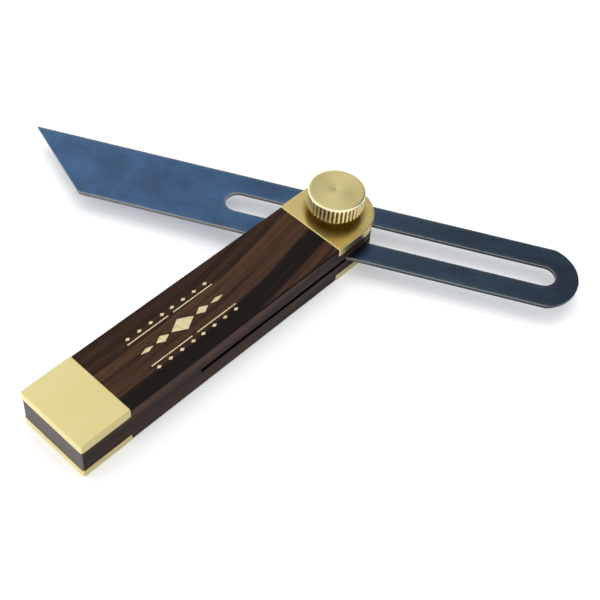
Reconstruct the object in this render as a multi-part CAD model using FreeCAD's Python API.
import FreeCAD, Part
import math
import os

Vec = FreeCAD.Vector
UP = Vec(0, 0, 1)

# Sliding bevel. The origin is on the pivot axis, at the stock's underside.
# The butt is towards -X, the round nose towards +X, and the knob is on top, towards +Z.
# All sizes are in millimetres and all angles in degrees.

# Stock
stock_width = 26.2
stock_height = 15.0
butt_to_pivot = 117.0
wood_arris_radius = 0.5      # rounding of the wood's long edges
butt_corner_radius = 0.8     # rounding of the upright corners of the butt, wood and brass alike
kerf_depth = 71.6            # from the pivot axis back to the kerf's end, at the stock's sides
saw_radius = 60.0            # the kerf's end is the arc of the saw that cut it

# Brass plates
plate_thickness = 3.0
butt_plate_length = 18.3
pivot_plate_back = 11.7      # from the pivot axis back to the plate's straight edge
plate_proud = 0.15           # by which the plates stand above the wood, on the faces and the sides
plate_arris_radius = 0.4     # rounding of the edges round a plate's face
plate_corner_radius = 0.6    # rounding of a plate's upright corners next to the wood

# Rivets and pins, filed flush with the plates
rivet_diameter = 3.0
rivet_edge_distance = 5.2    # from a rivet's axis to the plate's edges
pin_diameter = 2.0
pin_depth_in_wood = 2.4
pin_edge_distance = 3.4      # from a pin's axis to the plate's edges

# Blade
blade_length = 190.0
blade_width = 25.0
blade_thickness = 1.2
blade_end_excess = 0.7       # by which the round end's radius exceeds half the blade's width
blade_edge_ease = 0.1
tip_angle = 45.0
slot_length = 110.6
slot_to_round_end = 7.6
round_end_reach = 81.8       # from the pivot axis to the blade's round end, as the tool lies
blade_direction = -61.5      # direction from the pivot to the round end, from +X towards +Y

# Clamp
stud_diameter = 6.0
stud_head_overhang = 2.2     # of the head past the shank, all round
stud_head_thickness = 1.2
stud_tip_chamfer = 0.6
bush_wall = 1.0
bush_set_back = 0.1          # of the bush's ends below the blade's faces
washer_diameter = 12.4
washer_thickness = 1.0
washer_edge_ease = 0.2
knob_diameter = 18.7
knob_collar_diameter = 11.2
knob_collar_height = 2.4
knob_band_height = 5.9
knob_rim_chamfer = 0.8
knob_foot_chamfer = 0.4
knob_centre_diameter = 1.6
knob_centre_depth = 0.5
knob_crown = 1.5             # brass left above the knob's blind bore
knob_bore_spare = 0.8        # empty depth above the stud in the bore
knurl_teeth = 41
knurl_depth = 0.5
knurl_crest_share = 0.34     # part of each tooth's pitch that is left as its crest

# Clearances
running_clearance = 0.05     # radial, stud to bush and knob, bush to slot
hole_clearance = 0.1         # radial, stud to stock and washer
head_clearance = 0.1         # radial, stud head in its counterbore
kerf_clearance = 0.2         # above and below the blade

# Worked out from the sizes above
half_width = stock_width / 2
mid_height = stock_height / 2
wood_top = stock_height - plate_thickness
stud_radius = stud_diameter / 2
stud_head_radius = stud_radius + stud_head_overhang
bush_bore = stud_radius + running_clearance
bush_radius = bush_bore + bush_wall
slot_width = 2 * (bush_radius + running_clearance)
blade_bottom = mid_height - blade_thickness / 2
blade_top = mid_height + blade_thickness / 2
washer_top = stock_height + washer_thickness
knob_band_bottom = washer_top + knob_collar_height
knob_top = knob_band_bottom + knob_band_height
knob_bore_top = knob_top - knob_crown
stud_top = knob_bore_top - knob_bore_spare
reach_past_stock = stock_width


def cylinder(radius, bottom, top, x=0.0, y=0.0):
    return Part.makeCylinder(radius, top - bottom, Vec(x, y, bottom), UP)


def block(x_low, x_high, y_low, y_high, bottom, top):
    return Part.makeBox(x_high - x_low, y_high - y_low, top - bottom, Vec(x_low, y_low, bottom))


def square_bar(side, bottom, top):
    return block(-side / 2, side / 2, -side / 2, side / 2, bottom, top)


def prism(edges, bottom, top):
    face = Part.Face(Part.Wire(edges))
    face.translate(Vec(0, 0, bottom))
    return face.extrude(Vec(0, 0, top - bottom))


def revolve(points):
    """Turned solid from (radius, height) points, listed once round its half section."""
    corners = [Vec(radius, 0, height) for radius, height in points]
    wire = Part.makePolygon(corners + corners[:1])
    return Part.Face(wire).revolve(Vec(0, 0, 0), UP, 360)


def line(start, end):
    return Part.LineSegment(start, end).toShape()


def arc(start, middle, end):
    return Part.Arc(start, middle, end).toShape()


def is_upright(edge):
    ends = edge.Vertexes
    return len(ends) == 2 and (ends[0].Point.sub(ends[1].Point)).cross(UP).Length < 1e-6


def rounded(shape, radius, wanted):
    return shape.makeFillet(radius, [edge for edge in shape.Edges if wanted(edge)])


def layer_ends(upper):
    """Bottom and top of the layer of brass on the stock's upper or lower side."""
    return (wood_top, stock_height) if upper else (0, plate_thickness)


def outline(x_low, half, nose):
    """Plan of the stock or of a plate: square at x_low, with a round nose or square again."""
    if nose:
        right = arc(Vec(0, -half, 0), Vec(half, 0, 0), Vec(0, half, 0))
        x_high = 0
    else:
        x_high = x_low + butt_plate_length
        right = line(Vec(x_high, -half, 0), Vec(x_high, half, 0))
    return [
        line(Vec(x_high, half, 0), Vec(x_low, half, 0)),
        line(Vec(x_low, half, 0), Vec(x_low, -half, 0)),
        line(Vec(x_low, -half, 0), Vec(x_high, -half, 0)),
        right,
    ]


def at_x(edge, x):
    return abs(edge.BoundBox.XMin - x) < 1e-6 and abs(edge.BoundBox.XMax - x) < 1e-6


def lies_at(edge, z):
    return abs(edge.BoundBox.ZMin - z) < 1e-6 and abs(edge.BoundBox.ZMax - z) < 1e-6


def wood_form():
    half = half_width - plate_proud
    butt = -butt_to_pivot + plate_proud
    form = prism(outline(butt, half, True), plate_proud, stock_height - plate_proud)
    form = rounded(form, butt_corner_radius, lambda edge: is_upright(edge) and at_x(edge, butt))
    return rounded(form, wood_arris_radius, lambda edge: edge.BoundBox.ZLength < 1e-6)


def plate_form(x_low, seam_x, nose, upper):
    """A plate before its holes are made, with its edges eased on the side that shows."""
    bottom, top = layer_ends(upper)
    face = top if upper else bottom
    plate = prism(outline(x_low, half_width, nose), bottom, top)
    plate = rounded(plate, plate_corner_radius, lambda edge: is_upright(edge) and at_x(edge, seam_x))
    if not nose:
        plate = rounded(plate, butt_corner_radius, lambda edge: is_upright(edge) and at_x(edge, x_low))
    return rounded(plate, plate_arris_radius, lambda edge: lies_at(edge, face))


def butt_pocket(upper):
    bottom, top = layer_ends(upper)
    wood_start = -butt_to_pivot + butt_plate_length
    return block(-butt_to_pivot, wood_start, -half_width, half_width, bottom, top)


def pivot_pocket(upper):
    bottom, top = layer_ends(upper)
    return block(-pivot_plate_back, half_width, -half_width, half_width, bottom, top)


def kerf():
    bottom = blade_bottom - kerf_clearance
    top = blade_top + kerf_clearance
    straight = block(-kerf_depth, reach_past_stock, -half_width, half_width, bottom, top)
    saw_centre = -kerf_depth + math.sqrt(saw_radius ** 2 - half_width ** 2)
    sides = block(-kerf_depth - saw_radius, reach_past_stock, -half_width, half_width, bottom, top)
    return straight.fuse(cylinder(saw_radius, bottom, top, saw_centre).common(sides))


def rivet_places():
    """Three rivets in a triangle on the butt plates."""
    inner = -butt_to_pivot + butt_plate_length - rivet_edge_distance
    outer = -butt_to_pivot + rivet_edge_distance
    side = half_width - rivet_edge_distance
    return [(inner, side), (inner, -side), (outer, 0.0)]


def pin_places():
    """Two pins behind the washer and one at the nose of each pivot plate."""
    back = -pivot_plate_back + pin_edge_distance
    side = half_width - pin_edge_distance
    return [(back, side), (back, -side), (half_width - pin_edge_distance, 0.0)]


def rivet(place):
    return cylinder(rivet_diameter / 2, 0, stock_height, *place)


def pin(place, upper):
    radius = pin_diameter / 2
    if upper:
        return cylinder(radius, wood_top - pin_depth_in_wood, stock_height, *place)
    return cylinder(radius, 0, plate_thickness + pin_depth_in_wood, *place)


def stock_body():
    cuts = [butt_pocket(True), butt_pocket(False), pivot_pocket(True), pivot_pocket(False), kerf()]
    cuts.append(cylinder(stud_radius + hole_clearance, 0, stock_height))
    cuts += [rivet(place) for place in rivet_places()]
    cuts += [pin(place, upper) for place in pin_places() for upper in (True, False)]
    return wood_form().cut(cuts)


def butt_plate(upper):
    seam = -butt_to_pivot + butt_plate_length
    plate = plate_form(-butt_to_pivot, seam, False, upper)
    return plate.cut([rivet(place) for place in rivet_places()])


def pivot_plate(upper):
    plate = plate_form(-pivot_plate_back, -pivot_plate_back, True, upper)
    holes = [pin(place, upper) for place in pin_places()]
    if upper:
        holes.append(cylinder(stud_radius + hole_clearance, wood_top, stock_height))
    else:
        holes.append(cylinder(stud_head_radius + head_clearance, 0, stud_head_thickness))
        holes.append(square_bar(stud_diameter + 2 * running_clearance, 0, plate_thickness))
    return plate.cut(holes)


def clamp_stud():
    """Flat head let into the bottom plate, square neck, and a round shank up into the knob."""
    head = cylinder(stud_head_radius, 0, stud_head_thickness)
    neck = square_bar(stud_diameter, stud_head_thickness, plate_thickness)
    shank = revolve([
        (0, stud_head_thickness),
        (stud_radius, stud_head_thickness),
        (stud_radius, stud_top - stud_tip_chamfer),
        (stud_radius - stud_tip_chamfer, stud_top),
        (0, stud_top),
    ])
    return head.fuse([neck, shank]).removeSplitter()


def slot_bush():
    bottom = blade_bottom + bush_set_back
    top = blade_top - bush_set_back
    return cylinder(bush_radius, bottom, top).cut(cylinder(bush_bore, bottom, top))


def blade_outline():
    """Blade lying along +X with the pivot at the origin and its round end on the right."""
    half = blade_width / 2
    heel = round_end_reach - blade_length
    tip_set_back = blade_width / math.tan(math.radians(tip_angle))
    end_radius = half + blade_end_excess
    shoulder = round_end_reach - end_radius + math.sqrt(end_radius ** 2 - half ** 2)
    point = Vec(heel, half, 0)
    short_corner = Vec(heel + tip_set_back, -half, 0)
    return [
        line(point, short_corner),
        line(short_corner, Vec(shoulder, -half, 0)),
        arc(Vec(shoulder, -half, 0), Vec(round_end_reach, 0, 0), Vec(shoulder, half, 0)),
        line(Vec(shoulder, half, 0), point),
    ]


def slot_outline():
    half = slot_width / 2
    right = round_end_reach - slot_to_round_end
    left = right - slot_length
    return [
        line(Vec(left + half, half, 0), Vec(right - half, half, 0)),
        arc(Vec(right - half, half, 0), Vec(right, 0, 0), Vec(right - half, -half, 0)),
        line(Vec(right - half, -half, 0), Vec(left + half, -half, 0)),
        arc(Vec(left + half, -half, 0), Vec(left, 0, 0), Vec(left + half, half, 0)),
    ]


def blade():
    slot = prism(slot_outline(), blade_bottom, blade_top)
    plate = prism(blade_outline(), blade_bottom, blade_top).cut(slot)
    flat_edges = [edge for edge in plate.Edges if edge.BoundBox.ZLength < 1e-6]
    plate = plate.makeChamfer(blade_edge_ease, flat_edges)
    plate.rotate(Vec(0, 0, 0), UP, blade_direction)
    return plate


def knob_washer():
    bore = stud_radius + hole_clearance
    outside = washer_diameter / 2
    return revolve([
        (bore, stock_height),
        (outside, stock_height),
        (outside, washer_top - washer_edge_ease),
        (outside - washer_edge_ease, washer_top),
        (bore, washer_top),
    ])


def knurl_outline():
    """One closed outline: an arc over each crest and a straight-sided notch between crests."""
    crest_radius = knob_diameter / 2
    root_radius = crest_radius - knurl_depth
    pitch = 2 * math.pi / knurl_teeth
    crest = pitch * knurl_crest_share

    def at(radius, angle):
        return Vec(radius * math.cos(angle), radius * math.sin(angle), 0)

    edges = []
    for tooth in range(knurl_teeth):
        start = tooth * pitch
        notch = start + (crest + pitch) / 2
        crest_end = at(crest_radius, start + crest)
        edges.append(arc(at(crest_radius, start), at(crest_radius, start + crest / 2), crest_end))
        edges.append(line(crest_end, at(root_radius, notch)))
        edges.append(line(at(root_radius, notch), at(crest_radius, start + pitch)))
    return edges


def clamp_knob():
    """Knurled band with a bright rim above a plain collar, bored blind from below."""
    radius = knob_diameter / 2
    collar_radius = knob_collar_diameter / 2
    bore = stud_radius + running_clearance
    turned = revolve([
        (0, washer_top),
        (collar_radius, washer_top),
        (collar_radius, knob_band_bottom),
        (radius - knob_foot_chamfer, knob_band_bottom),
        (radius, knob_band_bottom + knob_foot_chamfer),
        (radius, knob_top - knob_rim_chamfer),
        (radius - knob_rim_chamfer, knob_top),
        (0, knob_top),
    ])
    knurled = prism(knurl_outline(), washer_top, knob_top)
    centre_mark = Part.makeCone(
        0, knob_centre_diameter / 2, knob_centre_depth, Vec(0, 0, knob_top - knob_centre_depth), UP)
    return turned.common(knurled).cut([cylinder(bore, washer_top, knob_bore_top), centre_mark])


def sub_parts():
    parts = {
        "stock_body": stock_body(),
        "top_butt_plate": butt_plate(True),
        "bottom_butt_plate": butt_plate(False),
        "top_pivot_plate": pivot_plate(True),
        "bottom_pivot_plate": pivot_plate(False),
        "clamp_stud": clamp_stud(),
        "slot_bush": slot_bush(),
        "blade": blade(),
        "knob_washer": knob_washer(),
        "clamp_knob": clamp_knob(),
    }
    for number, place in enumerate(rivet_places(), 1):
        parts[f"butt_rivet_{number}"] = rivet(place)
    for number, place in enumerate(pin_places(), 1):
        parts[f"top_pivot_pin_{number}"] = pin(place, True)
        parts[f"bottom_pivot_pin_{number}"] = pin(place, False)
    return parts


os.makedirs("parts", exist_ok=True)
for name, shape in sub_parts().items():
    solid = shape.Solids[0] if len(shape.Solids) == 1 else shape
    if not solid.isValid() or len(shape.Solids) != 1:
        raise ValueError(f"{name} is not one valid solid")
    solid.exportStep(f"parts/{name}.step")
    print(f"{name}: {solid.Volume:.1f} mm3")
